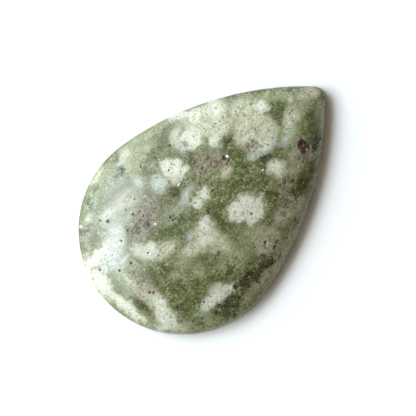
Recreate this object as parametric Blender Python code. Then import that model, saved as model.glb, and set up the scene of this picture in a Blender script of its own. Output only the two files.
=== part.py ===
"""Frog jasper cabochon: one polished teardrop of mottled green stone, lying on its flat back.

Metres, +Z up. The long axis runs along X with the tip at +X. The origin is under the middle of the length and
the width, on the flat back.
"""

import math

import bmesh
import bpy

MM = 0.001

# The outline at its widest, just above the back's bevel: a wide round end, two long flanks and a small tip
LENGTH = 43.5 * MM
WIDTH = 30.0 * MM
TIP_RADIUS = 1.65 * MM
LEFT_FLANK_RADIUS = 44.7 * MM  # the flank on +Y
RIGHT_FLANK_RADIUS = 48.0 * MM  # the flank on -Y, cut a little straighter

# Heights, from the back up
THICKNESS = 6.0 * MM
BACK_BEVEL = 0.4 * MM
GIRDLE_TOP = 2.0 * MM
GIRDLE_TAPER = math.radians(6)  # the girdle leans in towards the dome, so that a bezel can grip it
ARRIS_RADIUS = 0.35 * MM  # the polished edge where the girdle turns into the dome

# The dome: an arc of a circle across, stretched along the stone, from a peak over the wide end
PEAK_X = -5.0 * MM
DOME_ARC = 0.95  # the share of a quarter circle's width that the dome's arc takes, so 1 would end upright
DOME_ROUNDING = 1.5  # how soon the rings above the girdle lose the point of the teardrop

# Mesh fineness
TIP_STEPS = 10
FLANK_STEPS = 20
WIDE_STEPS = 42
ARRIS_STEPS = 3
DOME_STEPS = 15

SHARP_ANGLE = math.radians(30)  # edges that turn by more than this stay crisp under smooth shading

STONE_GREEN = (0.20, 0.24, 0.11, 1.0)
POLISH_ROUGHNESS = 0.2


def clear_scene():
    for obj in list(bpy.data.objects):
        bpy.data.objects.remove(obj)


def arc_points(centre, radius, start, end, steps):
    """Points along an arc from the angle start up to, but not including, the angle end."""
    turn = (end - start) / steps
    angles = [start + turn * i for i in range(steps)]
    return [(centre[0] + radius * math.cos(a), centre[1] + radius * math.sin(a)) for a in angles]


def flank(wide_centre, wide_radius, tip_centre, tip_radius, radius, side):
    """The arc that touches the wide end's and the tip's circles from outside: its centre and its two ends."""
    to_wide = radius - wide_radius
    to_tip = radius - tip_radius
    apart = tip_centre - wide_centre
    along = (to_wide**2 - to_tip**2 + apart**2) / (2 * apart)
    down = math.sqrt(to_wide**2 - along**2)
    centre = (wide_centre + along, -side * down)
    tip_end = math.atan2(down, apart - along)
    wide_end = math.atan2(down, -along)
    return centre, tip_end, wide_end


def teardrop(size, rounding, inset):
    """One closed ring of the outline's points, shrunk about the peak, its tip rounded, and inset."""
    half_width = WIDTH / 2
    wide_radius = half_width * size
    tip_radius = (TIP_RADIUS + (half_width - TIP_RADIUS) * rounding) * size
    wide_centre = PEAK_X + (half_width - LENGTH / 2 - PEAK_X) * size
    tip_centre = PEAK_X + (LENGTH / 2 - PEAK_X) * size - tip_radius
    left = flank(wide_centre, wide_radius, tip_centre, tip_radius, LEFT_FLANK_RADIUS * size, 1)
    right = flank(wide_centre, wide_radius, tip_centre, tip_radius, RIGHT_FLANK_RADIUS * size, -1)
    right_start = 2 * math.pi - right[2]
    right_end = 2 * math.pi - right[1]
    return (
        arc_points((tip_centre, 0), tip_radius - inset, -right[1], left[1], TIP_STEPS)
        + arc_points(left[0], LEFT_FLANK_RADIUS * size - inset, left[1], left[2], FLANK_STEPS)
        + arc_points((wide_centre, 0), wide_radius - inset, left[2], right_start, WIDE_STEPS)
        + arc_points(right[0], RIGHT_FLANK_RADIUS * size - inset, right_start, right_end, FLANK_STEPS)
    )


def dome_height(size):
    """The dome's height above the girdle, as a share of its whole, where a ring has this size."""
    edge = math.sqrt(1 - DOME_ARC**2)
    return (math.sqrt(1 - (DOME_ARC * size) ** 2) - edge) / (1 - edge)


def dome_edge_slope():
    """The dome's angle from level at the girdle, across the stone."""
    edge = math.sqrt(1 - DOME_ARC**2)
    rise = (THICKNESS - GIRDLE_TOP) / (WIDTH / 2)
    return math.atan(rise * DOME_ARC**2 / (edge * (1 - edge)))


def rings():
    """Each ring of the stone from the back's flat up to the dome's top, as its points and its height."""
    wall_lean = (GIRDLE_TOP - BACK_BEVEL) * math.tan(GIRDLE_TAPER)
    stack = [(teardrop(1, 0, BACK_BEVEL), 0.0), (teardrop(1, 0, 0), BACK_BEVEL)]

    # the arris is an arc that leaves the girdle and meets the dome
    start = GIRDLE_TAPER
    end = math.pi / 2 - dome_edge_slope()
    arris_centre = wall_lean + ARRIS_RADIUS * math.cos(start)
    for i in range(ARRIS_STEPS + 1):
        lean = start + (end - start) * i / ARRIS_STEPS
        inset = arris_centre - ARRIS_RADIUS * math.cos(lean)
        height = GIRDLE_TOP + ARRIS_RADIUS * (math.sin(lean) - math.sin(start))
        stack.append((teardrop(1, 0, inset), height))

    # the dome starts from the last of those rings
    arris_inset = inset
    arris_top = height
    for i in range(1, DOME_STEPS):
        # equal turns of the dome's arc, so that the rings crowd where it is steep
        size = math.sin(math.asin(DOME_ARC) * (1 - i / DOME_STEPS)) / DOME_ARC
        height = arris_top + (THICKNESS - arris_top) * dome_height(size)
        rounding = (1 - size) ** (1 / DOME_ROUNDING)
        stack.append((teardrop(size, rounding, arris_inset * size), height))
    return stack


def stone_material():
    material = bpy.data.materials.new("polished_jasper")
    material.use_nodes = True
    surface = material.node_tree.nodes["Principled BSDF"]
    surface.inputs["Base Color"].default_value = STONE_GREEN
    surface.inputs["Roughness"].default_value = POLISH_ROUGHNESS
    surface.inputs["Metallic"].default_value = 0.0
    return material


def place(verts, points, height):
    for vert, (x, y) in zip(verts, points):
        vert.co = (x, y, height)


def vert_above(vert, fresh):
    """The new vertex that an extrusion joined to this one."""
    return next(edge.other_vert(vert) for edge in vert.link_edges if edge.other_vert(vert) in fresh)


def cabochon():
    stack = rings()
    shape = bmesh.new()

    points, height = stack[0]
    ring = bmesh.ops.create_circle(shape, segments=len(points), radius=WIDTH / 2)["verts"]
    place(ring, points, height)
    edges = list(shape.edges)
    bmesh.ops.contextual_create(shape, geom=edges)

    for points, height in stack[1:]:
        wall = bmesh.ops.extrude_edge_only(shape, edges=edges)["geom"]
        edges = [part for part in wall if isinstance(part, bmesh.types.BMEdge) and part.is_boundary]
        fresh = {part for part in wall if isinstance(part, bmesh.types.BMVert)}
        ring = [vert_above(vert, fresh) for vert in ring]
        place(ring, points, height)

    top = bmesh.ops.contextual_create(shape, geom=edges)["faces"]
    peak = bmesh.ops.poke(shape, faces=top)["verts"][0]
    peak.co = (PEAK_X, 0, THICKNESS)
    bmesh.ops.recalc_face_normals(shape, faces=shape.faces)

    mesh = bpy.data.meshes.new("cabochon")
    shape.to_mesh(mesh)
    shape.free()
    mesh.shade_smooth()
    mesh.set_sharp_from_angle(angle=SHARP_ANGLE)
    mesh.materials.append(stone_material())
    stone = bpy.data.objects.new("cabochon", mesh)
    bpy.context.scene.collection.objects.link(stone)
    return stone


clear_scene()
cabochon()
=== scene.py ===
# %% [markdown]
# A frog jasper cabochon is one polished stone: a teardrop with a flat back, a narrow upright girdle and a
# low dome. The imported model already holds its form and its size. This script loads that model as a fixed
# frame and dresses it: a finer mesh of the same stone, its mottled pattern, its polish, the light and the
# camera.

import math

import bmesh
import bpy
from mathutils import Matrix, Vector, kdtree, noise
from mathutils.bvhtree import BVHTree


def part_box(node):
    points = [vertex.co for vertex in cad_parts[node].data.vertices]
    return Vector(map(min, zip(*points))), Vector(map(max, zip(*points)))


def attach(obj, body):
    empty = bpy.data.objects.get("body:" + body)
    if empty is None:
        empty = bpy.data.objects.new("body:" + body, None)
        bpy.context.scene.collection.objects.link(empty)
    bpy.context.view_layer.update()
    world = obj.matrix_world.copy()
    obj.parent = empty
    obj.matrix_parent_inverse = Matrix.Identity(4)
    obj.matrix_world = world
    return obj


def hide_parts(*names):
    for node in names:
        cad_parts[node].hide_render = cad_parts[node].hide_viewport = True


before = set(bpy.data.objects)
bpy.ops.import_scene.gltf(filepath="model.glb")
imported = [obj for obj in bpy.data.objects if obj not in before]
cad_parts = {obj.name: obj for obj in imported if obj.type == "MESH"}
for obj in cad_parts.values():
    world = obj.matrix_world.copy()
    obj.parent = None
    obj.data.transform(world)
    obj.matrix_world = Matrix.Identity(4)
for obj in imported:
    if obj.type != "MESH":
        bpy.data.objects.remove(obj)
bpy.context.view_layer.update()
MM = 0.001

low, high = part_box("cabochon")
LENGTH = high.x - low.x
WIDTH = high.y - low.y
THICKNESS = high.z - low.z
print(f"the stone is {LENGTH / MM:.1f} x {WIDTH / MM:.1f} x {THICKNESS / MM:.1f} mm")

# %% [markdown]
# The photograph looks almost straight down on the stone, from a little way off to the side of its straighter
# flank, with the point at the upper right. A camera could be turned until the picture looks right, but it is
# clearer to say which way the stone's length points in the picture and how far the camera leans. A long lens
# from thirty centimetres away keeps the outline's proportions, as the photograph does.

# %% Camera
AIM = Vector((-1.91, -0.52, 2.0)) * MM  # what the middle of the picture looks at
DISTANCE = 300 * MM
PICTURE_WIDTH = 59.5 * MM  # how much the picture takes in where the stone's edge is
LEAN = math.radians(5)  # from straight above, towards the flank on -Y
LENGTH_TURN = math.radians(45)  # how far the stone's length is turned from the picture's level
SENSOR_WIDTH = 36

camera_data = bpy.data.cameras.new("camera")
camera_data.sensor_width = SENSOR_WIDTH
camera_data.lens = camera_data.sensor_width * DISTANCE / PICTURE_WIDTH
camera = bpy.data.objects.new("camera", camera_data)
bpy.context.scene.collection.objects.link(camera)
bpy.context.scene.camera = camera
leaning = Matrix.Rotation(LEAN, 4, "X")
turned = Matrix.Rotation(-LENGTH_TURN, 4, "Z")
camera.matrix_world = Matrix.Translation(AIM) @ leaning @ turned @ Matrix.Translation((0, 0, DISTANCE))
print(f"the camera's lens is {camera_data.lens:.0f} mm")

# %% [markdown]
# The stone lies on plain white paper. A single big square is enough for that, as long as it reaches past
# every view's edge. Paper is dull, so it gets a high roughness and hardly any gloss.

# %% Floor
def new_material(name):
    material = bpy.data.materials.new(name)
    material.use_nodes = True
    return material, material.node_tree, material.node_tree.nodes["Principled BSDF"]


FLOOR_SIZE = 1.2
floor_shape = bmesh.new()
bmesh.ops.create_grid(floor_shape, x_segments=1, y_segments=1, size=FLOOR_SIZE / 2)
floor_mesh = bpy.data.meshes.new("paper")
floor_shape.to_mesh(floor_mesh)
floor_shape.free()
paper, paper_tree, paper_surface = new_material("paper")
paper_surface.inputs["Base Color"].default_value = (0.85, 0.85, 0.85, 1)
paper_surface.inputs["Roughness"].default_value = 0.9
paper_surface.inputs["Specular IOR Level"].default_value = 0.1
floor_mesh.materials.append(paper)
floor = bpy.data.objects.new("paper", floor_mesh)
bpy.context.scene.collection.objects.link(floor)
print(f"the paper is {FLOOR_SIZE:.1f} m square")

# %% [markdown]
# Materials and light are both built from nodes, and the same few node steps come back in each. A short
# helper for each step keeps the later cells readable: it makes the node, fills its inputs with a number or
# with another node's output, and hands back its own output.

# %% Node helpers
def fill(tree, socket, value):
    if isinstance(value, bpy.types.NodeSocket):
        tree.links.new(value, socket)
    else:
        socket.default_value = value


def math_node(tree, operation, *values):
    node = tree.nodes.new("ShaderNodeMath")
    node.operation = operation
    for socket, value in zip(node.inputs, values):
        fill(tree, socket, value)
    return node.outputs[0]


def vector_node(tree, operation, *values):
    node = tree.nodes.new("ShaderNodeVectorMath")
    node.operation = operation
    for socket, value in zip(node.inputs, values):
        fill(tree, socket, value)
    return node.outputs["Value" if operation == "DOT_PRODUCT" else "Vector"]


def smooth_step(tree, value, start, end):
    node = tree.nodes.new("ShaderNodeMapRange")
    node.interpolation_type = "SMOOTHSTEP"
    node.inputs["From Min"].default_value = start
    node.inputs["From Max"].default_value = end
    tree.links.new(value, node.inputs["Value"])
    return node.outputs["Result"]


def mixed(tree, factor, first, second):
    node = tree.nodes.new("ShaderNodeMix")
    node.data_type = "RGBA"
    for name, value in (("Factor", factor), ("A", first), ("B", second)):
        socket = next(s for s in node.inputs if s.name == name and s.enabled)
        fill(tree, socket, value)
    return next(s for s in node.outputs if s.enabled)


def noise_node(tree, vector, size, detail=2.0):
    """A noise whose lumps are about this size, in the units of the vector."""
    node = tree.nodes.new("ShaderNodeTexNoise")
    node.inputs["Scale"].default_value = 1 / size
    node.inputs["Detail"].default_value = detail
    tree.links.new(vector, node.inputs["Vector"])
    return node


def colour(red, green, blue):
    return (red, green, blue, 1)


print("node helpers ready")

# %% [markdown]
# Daylight from a window at the left lights the stone: a bright pane that the dome mirrors as a pale veil, a
# broad glow of wall and curtain round it, and a dim warm room on the other side, which leaves the shadow at
# the right flank brown. Lamps could stand for each of these, but one sky painted by direction keeps their
# edges soft and their sizes plain. The camera itself sees an even pale backdrop past the paper.

# %% Light
ROOM_SIDE = colour(0.21, 0.17, 0.12)
GLOW_SIDE = colour(3.1, 3.4, 3.5)
PANE_LIGHT = colour(7.6, 8.2, 8.8)
BACKDROP = colour(0.92, 0.93, 0.95)
GLOW_START = 0.1  # how squarely a direction faces the window where its glow sets in
GLOW_END = 0.8  # and where it is full
PANE_AZIMUTH = 170  # degrees, counted from the picture's right
PANE_ELEVATION = 50
PANE_HALF_WIDTH = 34
PANE_HALF_HEIGHT = 13
PANE_SOFTNESS = 3

bpy.context.scene.view_settings.view_transform = "Standard"
world = bpy.data.worlds.new("room")
world.use_nodes = True
bpy.context.scene.world = world
sky = world.node_tree
direction = sky.nodes.new("ShaderNodeTexCoord").outputs["Generated"]

pane_angle = math.radians(PANE_AZIMUTH) - LENGTH_TURN
towards_pane = Vector((math.cos(pane_angle), math.sin(pane_angle), 0))
beside_pane = Vector((0, 0, 1)).cross(towards_pane)
along = vector_node(sky, "DOT_PRODUCT", direction, towards_pane)
beside = vector_node(sky, "DOT_PRODUCT", direction, beside_pane)
upward = vector_node(sky, "DOT_PRODUCT", direction, Vector((0, 0, 1)))


def within(angle, middle, half):
    """1 inside a band of angles, fading to 0 over its soft edges."""
    off = math_node(sky, "ABSOLUTE", math_node(sky, "SUBTRACT", angle, math.radians(middle)))
    return smooth_step(sky, off, math.radians(half + PANE_SOFTNESS), math.radians(half - PANE_SOFTNESS))


azimuth = math_node(sky, "ARCTAN2", beside, along)
elevation = math_node(sky, "ARCSINE", upward)
across_pane = within(azimuth, 0, PANE_HALF_WIDTH)
up_pane = within(elevation, PANE_ELEVATION, PANE_HALF_HEIGHT)
glow = mixed(sky, smooth_step(sky, along, GLOW_START, GLOW_END), ROOM_SIDE, GLOW_SIDE)
lit_room = mixed(sky, math_node(sky, "MULTIPLY", across_pane, up_pane), glow, PANE_LIGHT)
seen = sky.nodes.new("ShaderNodeLightPath").outputs["Is Camera Ray"]
sky.links.new(mixed(sky, seen, lit_room, BACKDROP), sky.nodes["Background"].inputs["Color"])
print(f"the window's pane is {2 * PANE_HALF_WIDTH} x {2 * PANE_HALF_HEIGHT} degrees")

# %% [markdown]
# A cutter marks a teardrop from a template: a wide round end, two long flanks and a small rounded point, each
# an arc that runs into the next. The outline could be drawn by hand as a curve, but four arcs that touch
# give it exactly, and the same four arcs, shrunk and with a rounder point, give every level of the dome.

# %% Outline of the stone
TIP_RADIUS = 1.65 * MM
LEFT_FLANK_RADIUS = 44.7 * MM  # the flank on +Y
RIGHT_FLANK_RADIUS = 48.0 * MM  # the flank on -Y, cut a little straighter
PEAK_X = -5.0 * MM
DOME_ROUNDING = 1.5  # how soon the rings above the girdle lose the point of the teardrop

TIP_STEPS = 24
FLANK_STEPS = 84
WIDE_STEPS = 150


def arc_points(centre, radius, start, end, steps):
    """Points along an arc from the angle start up to, but not including, the angle end."""
    turn = (end - start) / steps
    angles = [start + turn * i for i in range(steps)]
    return [(centre[0] + radius * math.cos(a), centre[1] + radius * math.sin(a)) for a in angles]


def flank(wide_centre, wide_radius, tip_centre, tip_radius, radius, side):
    """The arc that touches the wide end's and the tip's circles from outside: its centre and its two ends."""
    to_wide = radius - wide_radius
    to_tip = radius - tip_radius
    apart = tip_centre - wide_centre
    along_flank = (to_wide**2 - to_tip**2 + apart**2) / (2 * apart)
    down = math.sqrt(to_wide**2 - along_flank**2)
    centre = (wide_centre + along_flank, -side * down)
    return centre, math.atan2(down, apart - along_flank), math.atan2(down, -along_flank)


def rounding_at(size):
    return (1 - size) ** (1 / DOME_ROUNDING)


def teardrop(size, rounding, inset):
    """One closed ring of the outline's points, shrunk about the peak, its tip rounded, and inset."""
    half_width = WIDTH / 2
    wide_radius = half_width * size
    tip_radius = (TIP_RADIUS + (half_width - TIP_RADIUS) * rounding) * size
    wide_centre = PEAK_X + (half_width - LENGTH / 2 - PEAK_X) * size
    tip_centre = PEAK_X + (LENGTH / 2 - PEAK_X) * size - tip_radius
    left = flank(wide_centre, wide_radius, tip_centre, tip_radius, LEFT_FLANK_RADIUS * size, 1)
    right = flank(wide_centre, wide_radius, tip_centre, tip_radius, RIGHT_FLANK_RADIUS * size, -1)
    right_start = 2 * math.pi - right[2]
    right_end = 2 * math.pi - right[1]
    return (
        arc_points((tip_centre, 0), tip_radius - inset, -right[1], left[1], TIP_STEPS)
        + arc_points(left[0], LEFT_FLANK_RADIUS * size - inset, left[1], left[2], FLANK_STEPS)
        + arc_points((wide_centre, 0), wide_radius - inset, left[2], right_start, WIDE_STEPS)
        + arc_points(right[0], RIGHT_FLANK_RADIUS * size - inset, right_start, right_end, FLANK_STEPS)
    )


print(f"each ring has {len(teardrop(1, 0, 0))} points")

# %% [markdown]
# From the side the stone is a stack of such rings: the flat back with its small bevel, the girdle that a
# bezel would grip, the polished arris, and a dome that follows an arc across the stone. Lofting through rings
# was chosen over carving a lump, because each height is then a plain number and the dome stays as even as a
# lapidary's wheel leaves it.

# %% Rings of the stone
BACK_BEVEL = 0.4 * MM
GIRDLE_TOP = 2.0 * MM
GIRDLE_TAPER = math.radians(6)
ARRIS_RADIUS = 0.35 * MM
DOME_ARC = 0.95  # the share of a quarter circle's width that the dome's arc takes

BACK_STEPS = 10
WALL_STEPS = 6
ARRIS_STEPS = 6
DOME_STEPS = 90


def dome_height(size):
    edge = math.sqrt(1 - DOME_ARC**2)
    return (math.sqrt(1 - (DOME_ARC * size) ** 2) - edge) / (1 - edge)


def dome_edge_slope():
    edge = math.sqrt(1 - DOME_ARC**2)
    rise = (THICKNESS - GIRDLE_TOP) / (WIDTH / 2)
    return math.atan(rise * DOME_ARC**2 / (edge * (1 - edge)))


def back_rings():
    sizes = [i / BACK_STEPS for i in range(1, BACK_STEPS + 1)]
    return [(teardrop(size, rounding_at(size), BACK_BEVEL * size), 0.0) for size in sizes]


def wall_rings():
    lean = math.tan(GIRDLE_TAPER)
    heights = [BACK_BEVEL + (GIRDLE_TOP - BACK_BEVEL) * i / WALL_STEPS for i in range(WALL_STEPS)]
    return [(teardrop(1, 0, (height - BACK_BEVEL) * lean), height) for height in heights]


def arris_rings():
    """The rings of the arris, then how far the last is inset and how high it is."""
    wall_lean = (GIRDLE_TOP - BACK_BEVEL) * math.tan(GIRDLE_TAPER)
    start = GIRDLE_TAPER
    end = math.pi / 2 - dome_edge_slope()
    centre = wall_lean + ARRIS_RADIUS * math.cos(start)
    found = []
    for i in range(ARRIS_STEPS + 1):
        lean = start + (end - start) * i / ARRIS_STEPS
        inset = centre - ARRIS_RADIUS * math.cos(lean)
        height = GIRDLE_TOP + ARRIS_RADIUS * (math.sin(lean) - math.sin(start))
        found.append((teardrop(1, 0, inset), height))
    return found, inset, height


def dome_rings(inset, base):
    found = []
    for i in range(1, DOME_STEPS):
        size = math.sin(math.asin(DOME_ARC) * (1 - i / DOME_STEPS)) / DOME_ARC
        height = base + (THICKNESS - base) * dome_height(size)
        found.append((teardrop(size, rounding_at(size), inset * size), height))
    return found


arris, arris_inset, arris_top = arris_rings()
stack = back_rings() + wall_rings() + arris + dome_rings(arris_inset, arris_top)
print(f"the dome starts {arris_top / MM:.2f} mm above the back")

# %% [markdown]
# The loft starts from one circle whose vertices are moved onto the first ring. Each further ring is an edge
# extrusion of the last one, set in place. The two ends are closed with a face that is poked, so that the
# peak and the middle of the back are each one vertex with no hole.

# %% Loft the stone
def place(verts, points, height):
    for vert, (x, y) in zip(verts, points):
        vert.co = (x, y, height)


def vert_above(vert, fresh):
    """The new vertex that an extrusion joined to this one."""
    return next(edge.other_vert(vert) for edge in vert.link_edges if edge.other_vert(vert) in fresh)


shape = bmesh.new()
points, height = stack[0]
ring = bmesh.ops.create_circle(shape, segments=len(points), radius=WIDTH / 2)["verts"]
place(ring, points, height)
bottom = bmesh.ops.contextual_create(shape, geom=list(shape.edges))["faces"]
bmesh.ops.poke(shape, faces=bottom)
edges = [edge for edge in shape.edges if edge.is_boundary]
for points, height in stack[1:]:
    wall = bmesh.ops.extrude_edge_only(shape, edges=edges)["geom"]
    edges = [part for part in wall if isinstance(part, bmesh.types.BMEdge) and part.is_boundary]
    fresh = {part for part in wall if isinstance(part, bmesh.types.BMVert)}
    ring = [vert_above(vert, fresh) for vert in ring]
    place(ring, points, height)
top = bmesh.ops.contextual_create(shape, geom=edges)["faces"]
peak = bmesh.ops.poke(shape, faces=top)["verts"][0]
peak.co = (PEAK_X, 0, THICKNESS)
bmesh.ops.recalc_face_normals(shape, faces=shape.faces)
smooth_stone = BVHTree.FromBMesh(shape)
print(f"the lofted stone has {len(shape.faces)} faces")


def dome_at(x, y):
    """The dome's height in millimetres above a place in millimetres, or the girdle's past the edge."""
    hit = smooth_stone.ray_cast(Vector((x * MM, y * MM, 1)), Vector((0, 0, -1)))[0]
    return (hit.z if hit else GIRDLE_TOP) / MM


# %% [markdown]
# Some grains are rusty and a few are pinkish. A few more are near-white spots that are painted glints,
# standing in for crystals that catch the light. Most are level with the polish, but they are hardly bigger
# than the mesh's squares. They are listed ahead of the bigger patches, because the mesh is made finer round
# them together with the pits. Each is an ellipse in millimetres from the middle of the stone: its place, its
# length and breadth, and how far it is turned in degrees.

# %% Small grains
OXBLOOD = [  # x, y, length, breadth, turn
    (0.4, -9.95, 0.6, 0.35, 30), (1.55, -11.0, 0.8, 0.28, 5), (0.85, -11.3, 0.8, 0.38, 12),
    (9.35, -6.5, 0.45, 0.45, 0), (14.2, -3.3, 0.7, 0.45, 0), (4.4, 1.7, 0.4, 0.3, 0),
    (13.85, -4.2, 0.7, 0.9, 0), (-15.9, -3.75, 0.5, 0.25, 0), (-10.1, 3.9, 0.5, 0.3, 0),
    (1.5, 3.75, 0.5, 0.3, 30),
]
PINK_GRAIN = [(13.9, -4.75, 0.38, 0.32, 0), (13.95, -4.0, 0.25, 0.3, 0), (-15.9, -3.45, 0.3, 0.25, 0)]
# painted glints: near-white spots that stand in for crystals catching the light
PAINTED_GLINTS = [
    (5.15, 2.5, 0.32, 0.42, 0), (-2.6, 4.4, 0.26, 0.22, 0), (-2.3, 4.5, 0.18, 0.18, 0),
    (7.35, -2.5, 0.45, 0.2, 0), (-8.8, 2.85, 0.3, 0.25, 0), (-15.2, 10.4, 0.3, 0.35, 0),
    (-16.7, 10.5, 0.35, 0.3, 0),
]
print(f"small grains: {len(OXBLOOD + PINK_GRAIN + PAINTED_GLINTS)}")

# %% [markdown]
# Under a lens the polish is broken by open pores, a rusty inclusion that plucked out a little as it was
# ground, a small vug with a sparkle in it, and a few nicks on the arris. They could be painted dark and left,
# but a pit that is really there catches the light at its far rim from every side. Each is a place, a width
# and a depth, all in millimetres, read off the photograph.

# %% Pores, pits and nicks
PORES = [  # x, y, width
    (-6.6, 1.9, 0.4), (-6.6, 1.35, 0.4), (-12.4, 0.65, 0.35), (-2.05, 6.9, 0.4), (-13.9, 4.6, 0.35),
    (-19.05, 4.0, 0.35), (-17.05, 1.85, 0.4), (-10.0, 6.1, 0.35), (-9.0, 5.65, 0.3), (-13.3, 8.0, 0.5),
    (-14.0, 8.9, 0.3), (0.3, 0.35, 0.4), (-2.2, -1.35, 0.5), (-9.1, -1.75, 0.35), (-7.4, -1.75, 0.3),
    (-14.85, -7.7, 0.4), (-13.0, -7.1, 0.35), (-11.7, -9.8, 0.4), (-10.65, -12.9, 0.4), (1.9, -5.8, 0.45),
    (6.2, -8.2, 0.4), (5.75, -10.5, 0.5), (7.95, -8.55, 0.35), (12.4, -5.55, 0.35), (12.25, -4.95, 0.35),
    (10.0, -6.1, 0.3), (-15.1, 1.4, 0.4), (-17.3, -5.3, 0.3), (-14.0, -4.6, 0.3), (2.8, 1.3, 0.35),
    (9.7, -0.1, 0.3), (10.5, -0.5, 0.4), (11.6, -0.3, 0.35), (8.3, -0.6, 0.3), (15.4, -0.5, 0.3),
    (13.75, 0.3, 0.3), (12.95, 5.45, 0.35), (20.9, -1.1, 0.4), (19.6, -0.9, 0.25), (-2.1, 9.6, 0.4),
    (0.6, 9.4, 0.4), (-6.6, 12.0, 0.25), (-4.5, 10.2, 0.35), (-4.8, -11.6, 0.5), (-4.9, -12.1, 0.35),
    (-5.5, -12.8, 0.4), (-2.2, -11.5, 0.35), (3.0, -11.6, 0.3), (4.25, -1.6, 0.45), (6.0, -2.6, 0.25),
    (6.3, -4.3, 0.25), (7.6, -5.8, 0.4), (8.4, -6.0, 0.45), (3.05, 4.1, 0.3), (2.8, 3.1, 0.3),
    (1.0, 3.3, 0.3), (1.9, 3.9, 0.25), (-0.2, 2.3, 0.3), (0.9, 1.0, 0.3), (16.4, -4.9, 0.35),
    (12.8, -6.4, 0.35), (-9.1, 4.8, 0.3), (-12.2, 5.0, 0.3), (-8.4, 7.5, 0.25), (-10.3, 7.3, 0.25),
    (-5.2, -6.4, 0.3), (0.4, -6.2, 0.25), (-1.2, -9.4, 0.3), (-0.1, -10.5, 0.3), (7.3, 7.0, 0.25),
    (9.1, 8.6, 0.25), (-20.3, 4.7, 0.25),
]
PORE_DEPTH = 0.3  # as a share of the width
HOLLOWS = [  # x, y, width, depth
    (13.95, -4.1, 1.9, 0.22), (4.8, 2.5, 0.8, 0.3), (4.95, 1.8, 0.4, 0.12), (-16.15, -3.4, 0.5, 0.14),
    (0.4, -9.95, 0.5, 0.12), (1.5, -11.0, 0.5, 0.1), (0.85, -11.3, 0.5, 0.1),
]
NICKS = [
    (-9.4, -14.4, 0.4, 0.1), (-8.3, -14.5, 0.3, 0.08), (-7.2, -14.55, 0.45, 0.1), (15.9, -5.9, 0.4, 0.08),
]
pits = [(x, y, width, width * PORE_DEPTH) for x, y, width in PORES] + HOLLOWS + NICKS
# a small grain is level with the polish, but it needs as fine a mesh as a pit does
pits += [(grain[0], grain[1], max(grain[2:4]), 0) for grain in OXBLOOD + PINK_GRAIN + PAINTED_GLINTS]
WIDEST_PIT = max(width for x, y, width, depth in pits)
FINE_CUTS = 3  # each edge near a pit is cut this many times
RIM = 1.6  # how far round a pit the mesh is finer, in half widths of the pit
ROUGH_SIZE = 0.12  # how big the lumps in a hollow are
ROUGHNESS_SHARE = 0.35  # how deep those lumps are, as a share of the hollow
BOWL_SHAPE = 0.7  # lower is flatter in the middle and steeper at the rim
ABOVE_WALL = GIRDLE_TOP * 0.9

pit_places = kdtree.KDTree(len(pits))
for number, (x, y, width, depth) in enumerate(pits):
    pit_places.insert((x, y, 0), number)
pit_places.balance()


def pits_near(vert):
    """Each pit close to a vertex, with the vertex's distance from it as a share of its half width."""
    flat_place = Vector((vert.co.x / MM, vert.co.y / MM, 0))
    for found_place, number, distance in pit_places.find_range(flat_place, WIDEST_PIT):
        yield pits[number], distance / (pits[number][2] / 2)


marked = {v for v in shape.verts if v.co.z > ABOVE_WALL and any(away < RIM for pit, away in pits_near(v))}
near_pits = [edge for edge in shape.edges if any(vert in marked for vert in edge.verts)]
bmesh.ops.subdivide_edges(shape, edges=near_pits, cuts=FINE_CUTS, use_grid_fill=True)
many_sided = [face for face in shape.faces if len(face.verts) > 4]
bmesh.ops.triangulate(shape, faces=many_sided)
sunk = 0
for vert in shape.verts:
    if vert.co.z < ABOVE_WALL:
        continue
    for (x, y, width, depth), away in pits_near(vert):
        if depth and away < 1:
            lumps = noise.noise(vert.co / MM / ROUGH_SIZE)
            bowl = (1 - away**2) ** BOWL_SHAPE
            vert.co.z -= depth * MM * bowl * (1 + ROUGHNESS_SHARE * lumps)
            sunk += 1
print(f"the mesh is finer in {len(pits)} places, and {sunk} vertices sank")

# %% [markdown]
# A dome polished by hand is never quite even. Broad waves a few hundredths of a millimetre deep are enough
# to bend the edge of a reflection, so they go into the mesh and not into a bump. They only ever take stone
# away, as a wheel does, so the stone stays inside its size.

# %% Waves of the polish
WAVE_SIZE = 6.0
WAVE_DEPTH = 0.022
RIPPLE_SIZE = 2.2
RIPPLE_DEPTH = 0.005
for vert in shape.verts:
    share = max(0.0, min(1.0, (vert.co.z - GIRDLE_TOP) / MM))
    wave = (1 + noise.noise(vert.co / MM / WAVE_SIZE)) / 2 * WAVE_DEPTH
    ripple = (1 + noise.noise(vert.co / MM / RIPPLE_SIZE)) / 2 * RIPPLE_DEPTH
    vert.co.z -= (wave + ripple) * share * MM
print(f"the polish waves by up to {WAVE_DEPTH + RIPPLE_DEPTH:.3f} mm")

# %% [markdown]
# The stone is one piece with two finishes: polished on the dome and arris, and left from the grinding wheel
# on the girdle and back. Both show the same jasper, so the faces only carry a number for their finish.

# %% Stone mesh
GROUND, POLISHED = 0, 1
SHARP_ANGLE = math.radians(30)
for face in shape.faces:
    face.smooth = True
    face.material_index = POLISHED if face.calc_center_median().z > GIRDLE_TOP else GROUND
stone_mesh = bpy.data.meshes.new("stone")
shape.to_mesh(stone_mesh)
shape.free()
stone_mesh.set_sharp_from_angle(angle=SHARP_ANGLE)
stone = bpy.data.objects.new("polished_stone", stone_mesh)
bpy.context.scene.collection.objects.link(stone)
stone_mesh.calc_loop_triangles()
print(f"the stone's mesh has {len(stone_mesh.loop_triangles)} triangles")
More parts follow.
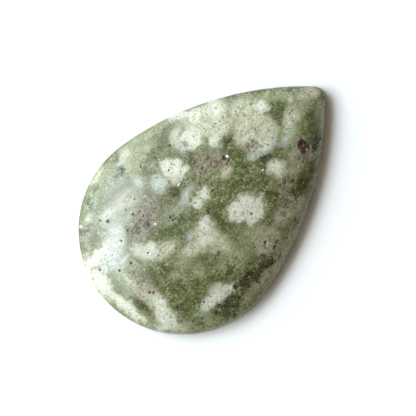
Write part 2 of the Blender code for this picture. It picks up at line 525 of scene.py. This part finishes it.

# %% [markdown]
# Frog jasper is an altered volcanic rock: a granular olive ground, with cream and milky patches where old
# fragments were bleached, beige and brown ones where iron came in, and rusty grains. The patches could be
# left to a noise, but then they wouldn't be this stone's. Here each patch is a soft ellipse, given one by one
# in the same terms as the small grains, and noise later eats into its edges. The pale kinds run from stone
# that is nearly the ground's own olive to milky white.

# %% Patches of pale stone
PALE_OLIVE = [  # x, y, length, breadth, turn
    (-12.3, 12.2, 4.6, 1.8, 25), (-9.0, 12.4, 5.0, 2.6, 8), (-4.0, 11.7, 6.0, 3.6, 0),
    (1.0, 12.4, 5.0, 1.6, -12), (-3.2, 13.7, 5.5, 1.0, -3), (-18.6, 7.0, 2.6, 1.6, 35),
    (-17.0, 1.2, 3.6, 2.6, 0), (-9.0, -3.4, 3.0, 2.0, 0), (-11.7, -4.6, 1.4, 1.4, 0),
    (-9.1, -6.3, 1.4, 1.8, 0), (-13.6, -12.2, 3.6, 1.6, -35), (-4.2, -6.6, 2.6, 2.4, 0),
    (-4.6, -8.6, 5.0, 2.6, 0), (-15.6, -10.8, 2.4, 1.6, -45), (12.0, 6.9, 4.5, 2.0, -35),
    (16.6, 4.0, 6.0, 2.2, -38), (12.6, -3.2, 3.4, 2.2, 0), (13.6, -1.4, 3.4, 1.8, 0),
    (19.2, 1.2, 4.0, 2.4, 0), (10.0, 4.0, 6.0, 5.0, 0), (-0.3, -7.6, 3.0, 1.4, 0), (7.3, -6.7, 2.2, 1.3, 0),
    (-0.5, 3.0, 1.6, 1.6, 0), (-19.5, -6.2, 1.5, 2.4, 20), (-6.2, 9.6, 1.6, 2.6, 0),
    (-14.3, 0.8, 2.0, 2.4, 0), (16.6, 0.4, 4.0, 3.0, 0), (-20.6, 6.6, 1.2, 1.6, 25),
]
GREY_GREEN = [
    (-13.0, 7.6, 5.0, 3.2, 15), (-11.0, 7.0, 2.4, 3.0, 0), (-15.0, 10.2, 3.0, 1.8, 35),
    (-13.8, 11.6, 2.6, 1.4, 25), (-8.7, 11.4, 3.6, 1.3, 0), (-8.4, 7.9, 3.0, 2.2, 0),
    (-5.9, 1.6, 3.6, 2.6, 0), (-18.2, -0.8, 1.4, 3.4, 0), (-12.9, -10.9, 1.8, 1.6, 0),
    (11.6, 8.2, 3.0, 0.9, -32), (18.6, 2.5, 2.8, 1.0, -38), (-15.2, 6.2, 2.0, 1.6, 0),
]
BEIGE = [
    (0.6, -9.8, 4.4, 3.6, 0), (-3.0, -13.5, 5.5, 1.2, 4), (0.7, -12.7, 2.8, 1.0, 18),
    (5.8, -9.0, 5.0, 2.2, 12), (7.6, -9.6, 3.4, 1.2, 28), (10.6, -5.6, 3.0, 1.3, 15),
    (-16.1, -1.2, 1.7, 3.8, 0), (-9.6, 8.4, 3.6, 2.0, 0), (-7.2, -13.5, 1.5, 1.0, 0),
    (18.7, -2.7, 3.6, 0.9, 45), (14.4, -5.6, 2.6, 0.9, 30), (12.0, -4.2, 2.2, 1.2, 0),
    (-18.9, 7.1, 2.2, 0.8, 40), (4.0, 10.6, 2.2, 1.0, 0), (3.2, -12.0, 3.0, 0.8, 22),
    (-17.0, -3.0, 1.6, 2.2, 0),
]
CREAM = [
    (7.0, 8.4, 6.0, 5.4, -20), (10.5, 2.6, 5.6, 5.0, 0), (10.6, 0.6, 5.4, 2.8, 0), (7.4, 6.2, 3.4, 2.6, 0),
    (11.4, 5.8, 3.6, 2.4, -30), (14.8, -0.4, 3.4, 1.4, 25), (-12.9, 1.7, 1.9, 2.8, 0),
    (-10.8, -0.6, 4.6, 1.5, -14), (-7.0, -3.6, 3.8, 1.8, -20), (-4.7, -3.3, 2.9, 3.6, 0),
    (-4.4, -5.2, 2.6, 1.5, -10), (-4.1, -6.4, 1.0, 1.6, 20), (-16.4, -4.4, 1.8, 2.4, -15),
    (8.9, -3.9, 2.0, 2.8, 0), (15.6, 0.1, 2.4, 1.8, 0), (20.4, 0.5, 1.4, 1.9, 0), (19.4, 1.0, 1.8, 0.8, 0),
    (3.4, 1.0, 1.5, 1.0, 0), (-10.0, 14.1, 3.0, 0.9, 10), (-4.9, 13.2, 1.4, 1.2, 0),
    (-17.1, -9.6, 2.6, 0.9, -48), (-17.2, -0.4, 0.9, 3.0, 0), (-2.6, 5.4, 1.4, 1.2, 0),
    (2.2, 9.9, 1.8, 1.0, 20), (-20.6, 0.4, 1.4, 2.2, 0), (-14.9, 10.5, 1.0, 0.6, 40),
    (-9.4, -9.6, 1.8, 1.0, 0), (9.4, 9.3, 2.4, 1.2, -30),
]
ICE = [
    (-17.0, 3.9, 4.6, 3.0, 0), (-14.5, 4.9, 2.8, 2.0, -10), (-13.4, 6.2, 1.6, 1.4, 0),
    (1.5, 8.4, 1.1, 2.4, 12), (-4.3, 6.6, 2.3, 2.1, 0), (-3.1, 2.5, 2.4, 0.9, 18), (-6.5, -1.9, 0.9, 0.6, 0),
    (-6.0, 12.6, 1.5, 0.8, 0), (10.4, -0.5, 2.4, 1.1, 0), (12.9, -1.7, 1.8, 0.9, 0),
    (-16.0, 2.4, 2.6, 0.7, 15), (-6.2, 8.6, 0.8, 1.4, 0), (-12.4, 8.9, 2.0, 0.8, 0),
    (7.9, -0.2, 1.4, 0.9, 0), (5.2, 11.4, 3.0, 0.8, -25),
]
WHITE = [
    (-20.3, 3.3, 2.1, 5.4, 0), (-18.0, 5.7, 4.8, 1.2, 0), (-20.1, -2.5, 1.5, 5.0, 0),
    (-12.1, 0.7, 2.0, 1.6, 20), (-1.5, 6.9, 2.7, 2.5, 0), (-0.9, 5.5, 1.6, 1.2, 0),
    (-1.7, 7.9, 1.6, 0.8, 10), (3.6, 7.7, 2.3, 2.9, -20), (2.9, 9.0, 1.6, 0.9, 0), (5.6, 5.3, 1.6, 1.5, 0),
    (4.6, 11.9, 2.4, 0.8, -18), (8.7, 8.6, 1.9, 2.4, -30), (-2.4, 0.7, 1.8, 1.1, 0),
    (-0.8, 1.0, 2.0, 1.4, 25), (1.5, -4.1, 4.8, 2.1, -4), (2.4, -5.9, 3.6, 2.2, 0),
    (0.3, -5.1, 1.8, 1.2, -30), (3.7, -5.4, 1.5, 1.4, 0), (-10.3, -10.6, 4.2, 1.5, -2),
    (-7.9, -10.9, 2.2, 1.3, -12), (-16.9, -6.6, 2.0, 3.8, -28), (-18.2, -8.2, 2.4, 1.3, -30),
    (-16.9, -8.4, 1.2, 1.8, 0), (13.6, 4.2, 1.9, 1.8, 0), (17.2, 2.25, 0.6, 0.6, 0),
    (8.9, -3.4, 1.3, 1.7, 0), (-3.9, -2.2, 1.3, 1.7, 0), (-5.4, -3.9, 1.4, 1.1, 0),
    (-19.8, -4.9, 1.0, 1.6, 15), (10.4, -0.2, 1.2, 0.8, 0), (6.0, 10.2, 1.8, 2.0, -25),
]
print(f"pale patches: {sum(map(len, (PALE_OLIVE, GREY_GREEN, BEIGE, CREAM, ICE, WHITE)))}")

# %% [markdown]
# The dark kinds are olive and green stone between the pale patches, and clouds stained brown. Some dark green
# and blackish green strips along the rims are painted shade, on the edges of the dome that the window's light
# misses. The brown and the shadowy ones are laid over the pale patches and break them up.

# %% Patches of dark stone
DARK_OLIVE = [
    (-1.5, 9.8, 4.2, 1.9, 0), (0.5, 9.4, 1.3, 3.4, 0), (1.5, 11.5, 2.2, 1.0, -10), (-4.7, 9.2, 1.1, 1.5, 0),
    (-6.0, 13.5, 1.8, 1.3, 0), (-5.3, 7.2, 1.1, 1.5, 0), (-3.5, 8.4, 0.9, 0.8, 0), (-3.1, 4.6, 2.0, 1.6, 0),
    (-2.0, -3.1, 1.4, 3.6, 0), (0.3, -2.0, 3.0, 1.0, 0), (-1.0, -1.4, 1.6, 1.2, 0), (2.8, -8.7, 1.5, 2.0, 0),
    (3.3, -10.0, 1.1, 1.0, 0), (10.6, -7.4, 5.6, 1.9, 22), (8.3, -7.6, 2.0, 1.3, 0),
    (12.9, -6.6, 2.0, 1.2, 30), (-18.2, -3.4, 1.7, 2.4, 0), (-12.5, 4.1, 1.4, 1.2, 0),
    (-14.3, 2.6, 1.2, 1.4, 0), (-14.2, 0.9, 0.8, 1.2, 0), (-8.4, -8.6, 2.2, 1.4, -20),
    (-7.2, -9.7, 1.4, 1.0, -40), (-13.2, -8.6, 2.4, 1.2, 0), (-10.9, -8.2, 2.0, 1.4, 0),
    (9.3, -1.9, 2.4, 0.9, -12), (11.6, -1.9, 1.8, 0.9, 0), (11.0, -3.4, 2.4, 0.9, 30),
    (11.6, 5.3, 1.1, 0.8, 20), (2.4, -0.2, 1.6, 1.0, 0), (2.2, -1.4, 2.0, 1.0, 0), (-0.4, 2.9, 0.8, 1.8, 0),
    (-7.0, 11.8, 1.6, 1.2, 0),
]
DARK_GREEN_AND_RIM_SHADE = [
    (1.3, 6.9, 1.2, 2.3, 22), (0.2, 5.6, 2.0, 0.9, 25), (6.5, 4.0, 2.4, 1.5, 0), (8.4, 3.9, 1.2, 1.7, 0),
    (6.2, 1.6, 1.8, 2.6, 0), (5.6, 0.2, 2.2, 1.2, 0), (14.5, 2.1, 2.0, 2.6, 20), (13.8, 0.3, 1.8, 1.2, 0),
    (5.5, -5.4, 1.4, 4.2, 4), (4.6, -1.9, 1.1, 2.2, 0), (6.5, -3.4, 1.2, 2.0, 0), (8.0, -1.1, 3.4, 0.9, -28),
    (16.4, -3.4, 5.0, 1.2, 50), (-14.4, 11.1, 1.6, 0.8, 0), (-13.6, 12.3, 1.2, 0.8, 0),
    (-16.0, 7.6, 1.9, 1.3, 0), (-13.5, -5.0, 1.4, 2.4, 0), (-14.2, -2.3, 1.1, 1.1, 0),
    (-15.0, -7.5, 1.2, 1.3, 0), (-12.4, -5.7, 1.2, 1.2, 0), (-12.5, -2.6, 1.6, 1.0, 0),
    (-5.3, -6.2, 0.9, 1.4, 0), (-6.5, 0.6, 2.2, 1.0, 0), (-8.2, 0.9, 1.6, 1.6, 0),
    (-11.2, 13.2, 1.2, 0.7, 0), (9.6, 2.9, 0.8, 1.0, 0), (-6.0, -9.2, 1.0, 0.8, 0),
    # the last four strips, from (8.5, 11.0) on, follow the rim of the flank on +Y: they are painted shade where
    # the dome's steep edge misses the window's light
    (-14.4, -11.4, 1.4, 0.9, -30), (8.5, 11.0, 5.0, 0.8, -28), (12.6, 8.4, 5.0, 0.8, -34),
    (16.6, 5.3, 4.5, 0.8, -39), (19.6, 2.7, 3.0, 0.7, -43),
]
BROWN = [
    (2.5, 3.7, 4.8, 3.0, 0), (3.6, 2.5, 2.4, 1.4, -10), (-8.8, 5.0, 5.4, 2.6, 0), (-9.4, 3.5, 4.6, 1.5, 0),
    (-6.8, 5.6, 2.0, 1.6, 0), (-17.2, 9.0, 2.8, 1.1, 48), (-17.9, 8.2, 1.8, 0.9, 10),
    (-16.0, -0.6, 1.0, 2.6, 0), (8.7, 1.05, 1.3, 1.0, 0), (6.4, -8.6, 2.0, 1.0, 0), (8.6, -5.8, 1.6, 1.2, 0),
    (-12.0, 3.5, 1.6, 0.9, 0), (-15.9, 9.2, 1.2, 0.9, 0), (13.9, -3.1, 1.6, 0.6, 0),
]
BLACKISH_GREEN_AND_SIDE_SHADE = [
    # the strips along the -Y side, near the rim, are painted shade on the side turned from the window; the
    # small spots are blackish green stone
    (-9.4, -12.6, 4.4, 1.6, 0), (-4.6, -12.3, 3.8, 1.5, 0), (-1.6, -12.1, 2.8, 1.2, -18),
    (-5.8, -11.5, 2.4, 1.0, 0), (-11.0, 4.5, 1.4, 1.0, 0), (-10.0, 4.0, 0.9, 0.7, 0),
    (-3.4, 4.3, 0.8, 0.6, 0), (-18.4, -3.7, 0.8, 0.8, 0), (-6.9, 11.7, 0.8, 0.8, 0),
    (1.2, 6.2, 0.8, 1.0, 20), (9.6, -7.9, 2.4, 0.8, 22), (12.8, -7.2, 1.6, 0.6, 35),
    (-16.8, 9.5, 0.9, 0.5, -40), (15.3, -5.0, 1.6, 0.8, 48), (6.7, 3.8, 1.0, 0.8, 0),
    (-1.6, -11.7, 1.2, 0.8, 0), (6.0, -6.8, 0.9, 1.0, 0), (8.3, -1.3, 1.6, 0.5, -28),
]
print(f"dark patches: {sum(map(len, (DARK_OLIVE, DARK_GREEN_AND_RIM_SHADE, BROWN, BLACKISH_GREEN_AND_SIDE_SHADE)))}")

# %% [markdown]
# Rosy clouds lie near some of the rusty grains, and the inclusion near the tip is three lumps that run
# together. Every pore is dark inside. Its mark is a little narrower than its pit, so that the rim keeps the
# stone's own colour.

# %% Rosy clouds, inclusion and pores
PORE_MARK_LENGTH = 0.85  # as a share of the pore's width
PORE_MARK_BREADTH = 0.7
PORE_TURN = 30
ROSE = [
    (-15.95, -3.1, 0.9, 1.6, 0), (-7.2, 7.6, 0.7, 0.6, 0), (1.0, -8.9, 1.4, 0.4, 0),
    (-8.6, 8.3, 0.5, 0.4, 0), (4.3, 1.9, 0.9, 0.7, 0), (-9.0, 3.1, 0.7, 0.5, 0),
]
INCLUSION = [(13.95, -4.1, 1.5, 1.8, 8), (13.3, -4.6, 0.7, 0.6, 0), (13.4, -3.75, 0.6, 0.5, 0)]
OPEN_PORES = [
    (x, y, width * PORE_MARK_LENGTH, width * PORE_MARK_BREADTH, PORE_TURN) for x, y, width in PORES
]
OPEN_PORES += [  # the dark parts of the hollows
    (4.75, 2.5, 0.5, 0.55, 0), (4.95, 1.8, 0.35, 0.25, 0), (-16.18, -3.4, 0.38, 0.34, 0),
    (14.55, -4.1, 0.3, 1.0, 0), (13.2, -4.7, 0.5, 0.35, 0), (13.5, -3.8, 0.45, 0.4, 0),
]
print(f"rosy clouds, inclusion and pores: {len(ROSE + INCLUSION + OPEN_PORES)}")

# %% [markdown]
# Each kind has a darker and a lighter tone, and the grain of the stone will pick between them. The kinds come
# in the order in which they are laid over the ground: a later one covers an earlier one. The big patches
# fade over about a millimetre, and the grains and pores are much crisper.

# %% Kinds of patch and their tones
LAYERS = {  # the patches, how soft their edges are, how near ones melt, and their darker and lighter tone
    "pale_olive": (PALE_OLIVE, 0.7, 0.8, colour(0.15, 0.165, 0.08), colour(0.30, 0.325, 0.19)),
    "grey_green": (GREY_GREEN, 0.7, 0.8, colour(0.13, 0.155, 0.09), colour(0.28, 0.32, 0.215)),
    "dark_olive": (DARK_OLIVE, 0.6, 0.6, colour(0.055, 0.056, 0.014), colour(0.145, 0.147, 0.056)),
    # dark green stone, with painted shade along the rim of the flank on +Y
    "dark_green_and_rim_shade": (DARK_GREEN_AND_RIM_SHADE, 0.6, 0.6, colour(0.048, 0.056, 0.018), colour(0.13, 0.148, 0.06)),
    "beige": (BEIGE, 0.6, 0.6, colour(0.20, 0.19, 0.115), colour(0.39, 0.37, 0.27)),
    "cream": (CREAM, 0.5, 0.5, colour(0.28, 0.285, 0.175), colour(0.53, 0.525, 0.405)),
    "ice": (ICE, 0.6, 0.5, colour(0.27, 0.305, 0.235), colour(0.48, 0.52, 0.45)),
    "white": (WHITE, 0.4, 0.5, colour(0.40, 0.41, 0.30), colour(0.65, 0.655, 0.56)),
    "brown": (BROWN, 0.6, 0.6, colour(0.105, 0.09, 0.05), colour(0.26, 0.235, 0.165)),
    # blackish green stone, with painted shade along the -Y side
    "blackish_green_and_side_shade": (BLACKISH_GREEN_AND_SIDE_SHADE, 0.5, 0.4, colour(0.024, 0.026, 0.008), colour(0.09, 0.094, 0.036)),
}
GRAINS = {
    "rose": (ROSE, 0.25, 0.1, colour(0.19, 0.125, 0.09), colour(0.37, 0.29, 0.22)),
    "inclusion": (INCLUSION, 0.12, 0.2, colour(0.015, 0.009, 0.008), colour(0.075, 0.035, 0.025)),
    "oxblood": (OXBLOOD, 0.08, 0.05, colour(0.035, 0.012, 0.009), colour(0.13, 0.04, 0.028)),
    "pores": (OPEN_PORES, 0.09, 0.03, colour(0.02, 0.022, 0.012), colour(0.08, 0.084, 0.05)),
    "pink_grain": (PINK_GRAIN, 0.05, 0.02, colour(0.24, 0.15, 0.12), colour(0.40, 0.29, 0.25)),
    # painted glints, near-white, for crystals that catch the light
    "painted_glint": (PAINTED_GLINTS, 0.05, 0.02, colour(0.75, 0.76, 0.72), colour(0.95, 0.95, 0.93)),
}
print(f"kinds of patch: {len(LAYERS)}, kinds of grain: {len(GRAINS)}")

# %% [markdown]
# Each vertex of the stone is told how far it lies outside the nearest patch of each kind. The shader could
# work that out from every ellipse itself, but two hundred of them make a shader too big to run, and the mesh
# is fine enough to carry a smooth distance. Near patches run together through a smooth minimum. A noise
# shifts every vertex a little before it is measured against the big patches, so that none keeps the look of
# an ellipse. Blender lays that noise out by the clock unless it has a seed, so it gets one, and every run
# gives the same stone. A patch reaches a few millimetres down, so it runs over the arris onto the girdle.

# %% Measure the patches
PATCH_DEPTH = 2.5
FAR = 2.0  # millimetres; next to nothing in the shader reaches further
DRIFT_SIZE = 1.5
DRIFT = 0.45
DRIFT_SEED = 1


def shared_out(vector, halves):
    return Vector(part / half for part, half in zip(vector, halves))


def outside_ellipse(offset, halves):
    """About how far a point is outside an ellipsoid, given from its middle; less than 0 is inside."""
    scaled = shared_out(offset, halves)
    slope = shared_out(scaled, halves).length
    return scaled.length * (scaled.length - 1) / slope if slope else -min(halves)


def melted(first, second, melt):
    """The smaller of two distances, rounded off where they are closer than melt."""
    overlap = max(melt - abs(first - second), 0) / melt
    return min(first, second) - overlap**3 * melt / 6


def measure(kinds, spots):
    """Give each vertex its distance from every kind of patch, as an attribute with the kind's name."""
    places = kdtree.KDTree(len(spots))
    for number, spot in enumerate(spots):
        places.insert(spot, number)
    places.balance()
    for name, (patches, softness, melt, darker, lighter) in kinds.items():
        away = [FAR] * len(spots)
        for x, y, length, breadth, turn in patches:
            middle = Vector((x, y, dome_at(x, y)))
            halves = (length / 2, breadth / 2, PATCH_DEPTH)
            laid = Matrix.Rotation(math.radians(-turn), 3, "Z")
            for spot, number, distance in places.find_range(middle, max(halves[:2]) + FAR):
                outside = outside_ellipse(laid @ (spot - middle), halves)
                away[number] = melted(away[number], outside, melt)
        stone_mesh.attributes.new(name, "FLOAT", "POINT").data.foreach_set("value", away)


spots = [vert.co / MM for vert in stone_mesh.vertices]
noise.seed_set(DRIFT_SEED)
drifted = [spot + noise.noise_vector(spot / DRIFT_SIZE) * DRIFT for spot in spots]
measure(LAYERS, drifted)
measure(GRAINS, spots)
print(f"{len(spots)} vertices know {len(stone_mesh.attributes)} things")

# %% [markdown]
# Two noises give the stone its grain: a coarse one for the clots, and a fine one for single grains. They
# colour the ground, wear the patches' edges and pick the tones inside them. All sizes are in millimetres.

# %% Grain, flecks and tones of the ground
COARSE_SIZE = 0.9
GRAIN_SIZE = 0.28
GRAIN_SHARE = 0.55  # of the pick between two tones; the coarse noise has the rest
PICK_FADE = (0.37, 0.63)  # the levels between which the pick goes from the darker to the lighter tone
COARSE_WEAR, GRAIN_WEAR = 2.8, 1.4  # how far each noise moves an edge over its whole range
GROWTH = 0.15  # makes up for the noise, which wears the edges away by about this much
SMALL_WEAR = 0.3  # the same for the edges of grains and pores
GROUND_CONTRAST = 0.9
OLIVE_GROUND = [  # the grain's level and its tone
    (0.24, colour(0.045, 0.05, 0.014)),
    (0.43, colour(0.10, 0.108, 0.042)),
    (0.57, colour(0.155, 0.165, 0.075)),
    (0.78, colour(0.28, 0.30, 0.17)),
]

BACK_FADE = (1.4, 0.2)  # the heights between which the back's own patches come in
BACK_PATCH_SIZE = 4.5
BACK_PATCH_FADE = (0.53, 0.60)  # the noise's levels between which a patch comes in
BACK_PALE = colour(0.42, 0.42, 0.32)
FLECK_SIZE = 0.42
DARK_FLECK = colour(0.05, 0.055, 0.02)
DARK_FLECK_FADE = (0.36, 0.26)
DARK_FLECK_STRENGTH = 0.7
PALE_FLECK = colour(0.46, 0.47, 0.34)
PALE_FLECK_FADE = (0.66, 0.76)
PALE_FLECK_STRENGTH = 0.55
SPECK_SPACING = 0.62
SPECK_FADE = (0.24, 0.10)  # as shares of the spacing
SPECK_SHARE = 0.42  # of the cells hold a speck
SPECK_STRENGTH = 0.8
print(f"the ground runs through {len(OLIVE_GROUND)} tones")

# %% [markdown]
# The pattern needs a few more node helpers. One reads a stored distance, one spreads a noise about zero, and
# one turns a number into a tone. The last lays every kind of patch over a tone: it roughens the stored
# distance with noise and turns it into a soft mask.

# %% Pattern helpers
def stored(tree, name):
    node = tree.nodes.new("ShaderNodeAttribute")
    node.attribute_name = name
    return node.outputs["Fac"]


def centred(tree, value, width):
    """A noise moved to run about zero, and stretched."""
    return math_node(tree, "MULTIPLY", math_node(tree, "SUBTRACT", value, 0.5), width)


def ramp(tree, value, stops):
    node = tree.nodes.new("ShaderNodeValToRGB")
    while len(node.color_ramp.elements) < len(stops):
        node.color_ramp.elements.new(0.5)
    for element, (position, tone) in zip(node.color_ramp.elements, stops):
        element.position = position
        element.color = tone
    tree.links.new(value, node.inputs["Fac"])
    return node.outputs["Color"]


def laid_over(tree, tone, kinds, ragged, picked):
    """The tone with every kind of patch laid over it, and the kinds' masks by their names."""
    masks = {}
    for name, (patches, softness, melt, darker, lighter) in kinds.items():
        away = math_node(tree, "ADD", stored(tree, name), ragged)
        masks[name] = smooth_step(tree, away, softness, -softness)
        tone = mixed(tree, masks[name], tone, mixed(tree, picked, darker, lighter))
    return tone, masks


print("pattern helpers ready")

# %% [markdown]
# The pattern is one node group that both finishes use. The kinds of patch are laid over the olive ground one
# after another, and inside each the grain picks the tone.

# %% Ground and patches
jasper = bpy.data.node_groups.new("jasper pattern", "ShaderNodeTree")
jasper.interface.new_socket("Vector", in_out="INPUT", socket_type="NodeSocketVector")
jasper.interface.new_socket("Color", in_out="OUTPUT", socket_type="NodeSocketColor")
jasper.interface.new_socket("Grain", in_out="OUTPUT", socket_type="NodeSocketFloat")
jasper.interface.new_socket("Pores", in_out="OUTPUT", socket_type="NodeSocketFloat")
given = jasper.nodes.new("NodeGroupInput").outputs["Vector"]
spot = vector_node(jasper, "MULTIPLY", given, (1 / MM, 1 / MM, 1 / MM))

coarse = noise_node(jasper, spot, COARSE_SIZE, 4.0).outputs[0]
grain = noise_node(jasper, spot, GRAIN_SIZE, 3.0).outputs[0]
coarse_pick = math_node(jasper, "MULTIPLY", coarse, 1 - GRAIN_SHARE)
pick = math_node(jasper, "MULTIPLY_ADD", grain, GRAIN_SHARE, coarse_pick)
picked = smooth_step(jasper, pick, *PICK_FADE)
ragged = math_node(jasper, "ADD", centred(jasper, coarse, COARSE_WEAR), centred(jasper, grain, GRAIN_WEAR))
ragged = math_node(jasper, "SUBTRACT", ragged, GROWTH)
jagged = centred(jasper, grain, SMALL_WEAR)

coarse_level = centred(jasper, coarse, GROUND_CONTRAST)
ground_level = math_node(jasper, "ADD", coarse_level, centred(jasper, grain, GROUND_CONTRAST))
tone = ramp(jasper, math_node(jasper, "ADD", ground_level, 0.5), OLIVE_GROUND)
tone, masks = laid_over(jasper, tone, LAYERS, ragged, picked)
print(f"the ground and the patches take {len(jasper.nodes)} nodes")

# %% [markdown]
# The back doesn't show in the photograph, so no patches are listed there and a broad noise gives it some.
# Flecks are the tops and bottoms of a fine noise. Specks are round and stand alone, so they come from cells,
# and a cell's own colour draws the lot for whether it holds one. Grains and pores are laid on last.

# %% Back, flecks, specks and grains
height_up = vector_node(jasper, "DOT_PRODUCT", spot, (0, 0, 1))
underside = smooth_step(jasper, height_up, *BACK_FADE)
back_noise = noise_node(jasper, spot, BACK_PATCH_SIZE, 4.0).outputs[0]
back_patches = smooth_step(jasper, back_noise, *BACK_PATCH_FADE)
tone = mixed(jasper, math_node(jasper, "MULTIPLY", underside, back_patches), tone, BACK_PALE)

flecks = noise_node(jasper, spot, FLECK_SIZE, 1.0).outputs[0]
dark_flecks = smooth_step(jasper, flecks, *DARK_FLECK_FADE)
dark_flecks = math_node(jasper, "MULTIPLY", dark_flecks, DARK_FLECK_STRENGTH)
pale_flecks = smooth_step(jasper, flecks, *PALE_FLECK_FADE)
pale_flecks = math_node(jasper, "MULTIPLY", pale_flecks, PALE_FLECK_STRENGTH)
tone = mixed(jasper, dark_flecks, tone, DARK_FLECK)
tone = mixed(jasper, pale_flecks, tone, PALE_FLECK)

cells = jasper.nodes.new("ShaderNodeTexVoronoi")
cells.inputs["Scale"].default_value = 1 / SPECK_SPACING
jasper.links.new(spot, cells.inputs["Vector"])
lot = vector_node(jasper, "DOT_PRODUCT", cells.outputs["Color"], (1, 0, 0))
has_speck = smooth_step(jasper, lot, SPECK_SHARE, SPECK_SHARE - 0.02)
speck_shape = smooth_step(jasper, cells.outputs["Distance"], *SPECK_FADE)
specks = math_node(jasper, "MULTIPLY", speck_shape, has_speck)
tone = mixed(jasper, math_node(jasper, "MULTIPLY", specks, SPECK_STRENGTH), tone, DARK_FLECK)

tone, masks = laid_over(jasper, tone, GRAINS, jagged, picked)
results = jasper.nodes.new("NodeGroupOutput")
jasper.links.new(tone, results.inputs["Color"])
jasper.links.new(grain, results.inputs["Grain"])
jasper.links.new(masks["pores"], results.inputs["Pores"])
print(f"the pattern has {len(jasper.nodes)} nodes")

# %% [markdown]
# Both finishes read the pattern at the stone's own coordinates, and both have a relief too fine for the mesh,
# which goes into a bump.

# %% Finish helpers
def object_coordinates(tree):
    return tree.nodes.new("ShaderNodeTexCoord").outputs["Object"]


def jasper_in(tree, coordinates):
    pattern = tree.nodes.new("ShaderNodeGroup")
    pattern.node_tree = jasper
    tree.links.new(coordinates, pattern.inputs["Vector"])
    return pattern


def bumped(tree, surface, height, strength, distance):
    bump = tree.nodes.new("ShaderNodeBump")
    bump.inputs["Strength"].default_value = strength
    bump.inputs["Distance"].default_value = distance
    tree.links.new(height, bump.inputs["Height"])
    tree.links.new(bump.outputs["Normal"], surface.inputs["Normal"])


print("finish helpers ready")

# %% [markdown]
# Jasper takes a good polish, though its softer grains undercut a little. The window's reflection on it is a
# veil with soft edges and not a mirror image, so the roughness sits near a quarter and wanders with the
# grain, and open pores stay dull. Quartz bends light a bit more than glass does.

# %% Polished finish
QUARTZ_IOR = 1.54
POLISH_ROUGHNESS = 0.19
GRAIN_ROUGHNESS = 0.16  # what the grain adds to it
PORE_ROUGHNESS = 0.4  # and what an open pore adds
UNDERCUT = 0.03 * MM  # how deep the grain's bump is
UNDERCUT_STRENGTH = 0.35
polish, polish_tree, polish_surface = new_material("polished jasper")
pattern = jasper_in(polish_tree, object_coordinates(polish_tree))
polish_tree.links.new(pattern.outputs["Color"], polish_surface.inputs["Base Color"])
roughness = math_node(
    polish_tree, "MULTIPLY_ADD", pattern.outputs["Grain"], GRAIN_ROUGHNESS, POLISH_ROUGHNESS
)
roughness = math_node(polish_tree, "MULTIPLY_ADD", pattern.outputs["Pores"], PORE_ROUGHNESS, roughness)
polish_tree.links.new(roughness, polish_surface.inputs["Roughness"])
polish_surface.inputs["IOR"].default_value = QUARTZ_IOR
bumped(polish_tree, polish_surface, pattern.outputs["Grain"], UNDERCUT_STRENGTH, UNDERCUT)
print(f"the polish is {POLISH_ROUGHNESS:.2f} to {POLISH_ROUGHNESS + GRAIN_ROUGHNESS:.2f} rough")

# %% [markdown]
# The girdle and the back keep the fine scratches of the grinding wheel, which scatter light: the same stone
# looks a little paler and quite matt there. The scratches are a noise squeezed to thin lines across the back.

# %% Ground finish
STONE_DUST = colour(0.42, 0.43, 0.36)
DUSTED = 0.18
SCRATCH_TURN = math.radians(20)
SCRATCH_SQUEEZE = (0.15, 4, 4)  # long one way and thin the others
SCRATCH_SIZE = 0.6 * MM
SCRATCH_DEPTH = 0.03 * MM
SCRATCH_STRENGTH = 0.4
GROUND_ROUGHNESS = 0.42
SCRATCH_ROUGHNESS = 0.3  # what the scratches add to it
ground, ground_tree, ground_surface = new_material("ground jasper")
coordinates = object_coordinates(ground_tree)
pattern = jasper_in(ground_tree, coordinates)
dusty = mixed(ground_tree, DUSTED, pattern.outputs["Color"], STONE_DUST)
ground_tree.links.new(dusty, ground_surface.inputs["Base Color"])
squeezed = ground_tree.nodes.new("ShaderNodeMapping")
squeezed.inputs["Rotation"].default_value = (0, 0, SCRATCH_TURN)
squeezed.inputs["Scale"].default_value = SCRATCH_SQUEEZE
ground_tree.links.new(coordinates, squeezed.inputs["Vector"])
scratches = noise_node(ground_tree, squeezed.outputs["Vector"], SCRATCH_SIZE, 3.0).outputs[0]
dullness = math_node(ground_tree, "MULTIPLY_ADD", scratches, SCRATCH_ROUGHNESS, GROUND_ROUGHNESS)
ground_tree.links.new(dullness, ground_surface.inputs["Roughness"])
ground_surface.inputs["IOR"].default_value = QUARTZ_IOR
bumped(ground_tree, ground_surface, scratches, SCRATCH_STRENGTH, SCRATCH_DEPTH)

# the order follows the numbers on the faces
for finish in (ground, polish):
    stone_mesh.materials.append(finish)
print(f"the stone has {len(stone_mesh.materials)} finishes")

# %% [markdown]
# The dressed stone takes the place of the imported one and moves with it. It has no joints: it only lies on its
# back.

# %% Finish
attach(stone, "root")
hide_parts("cabochon")
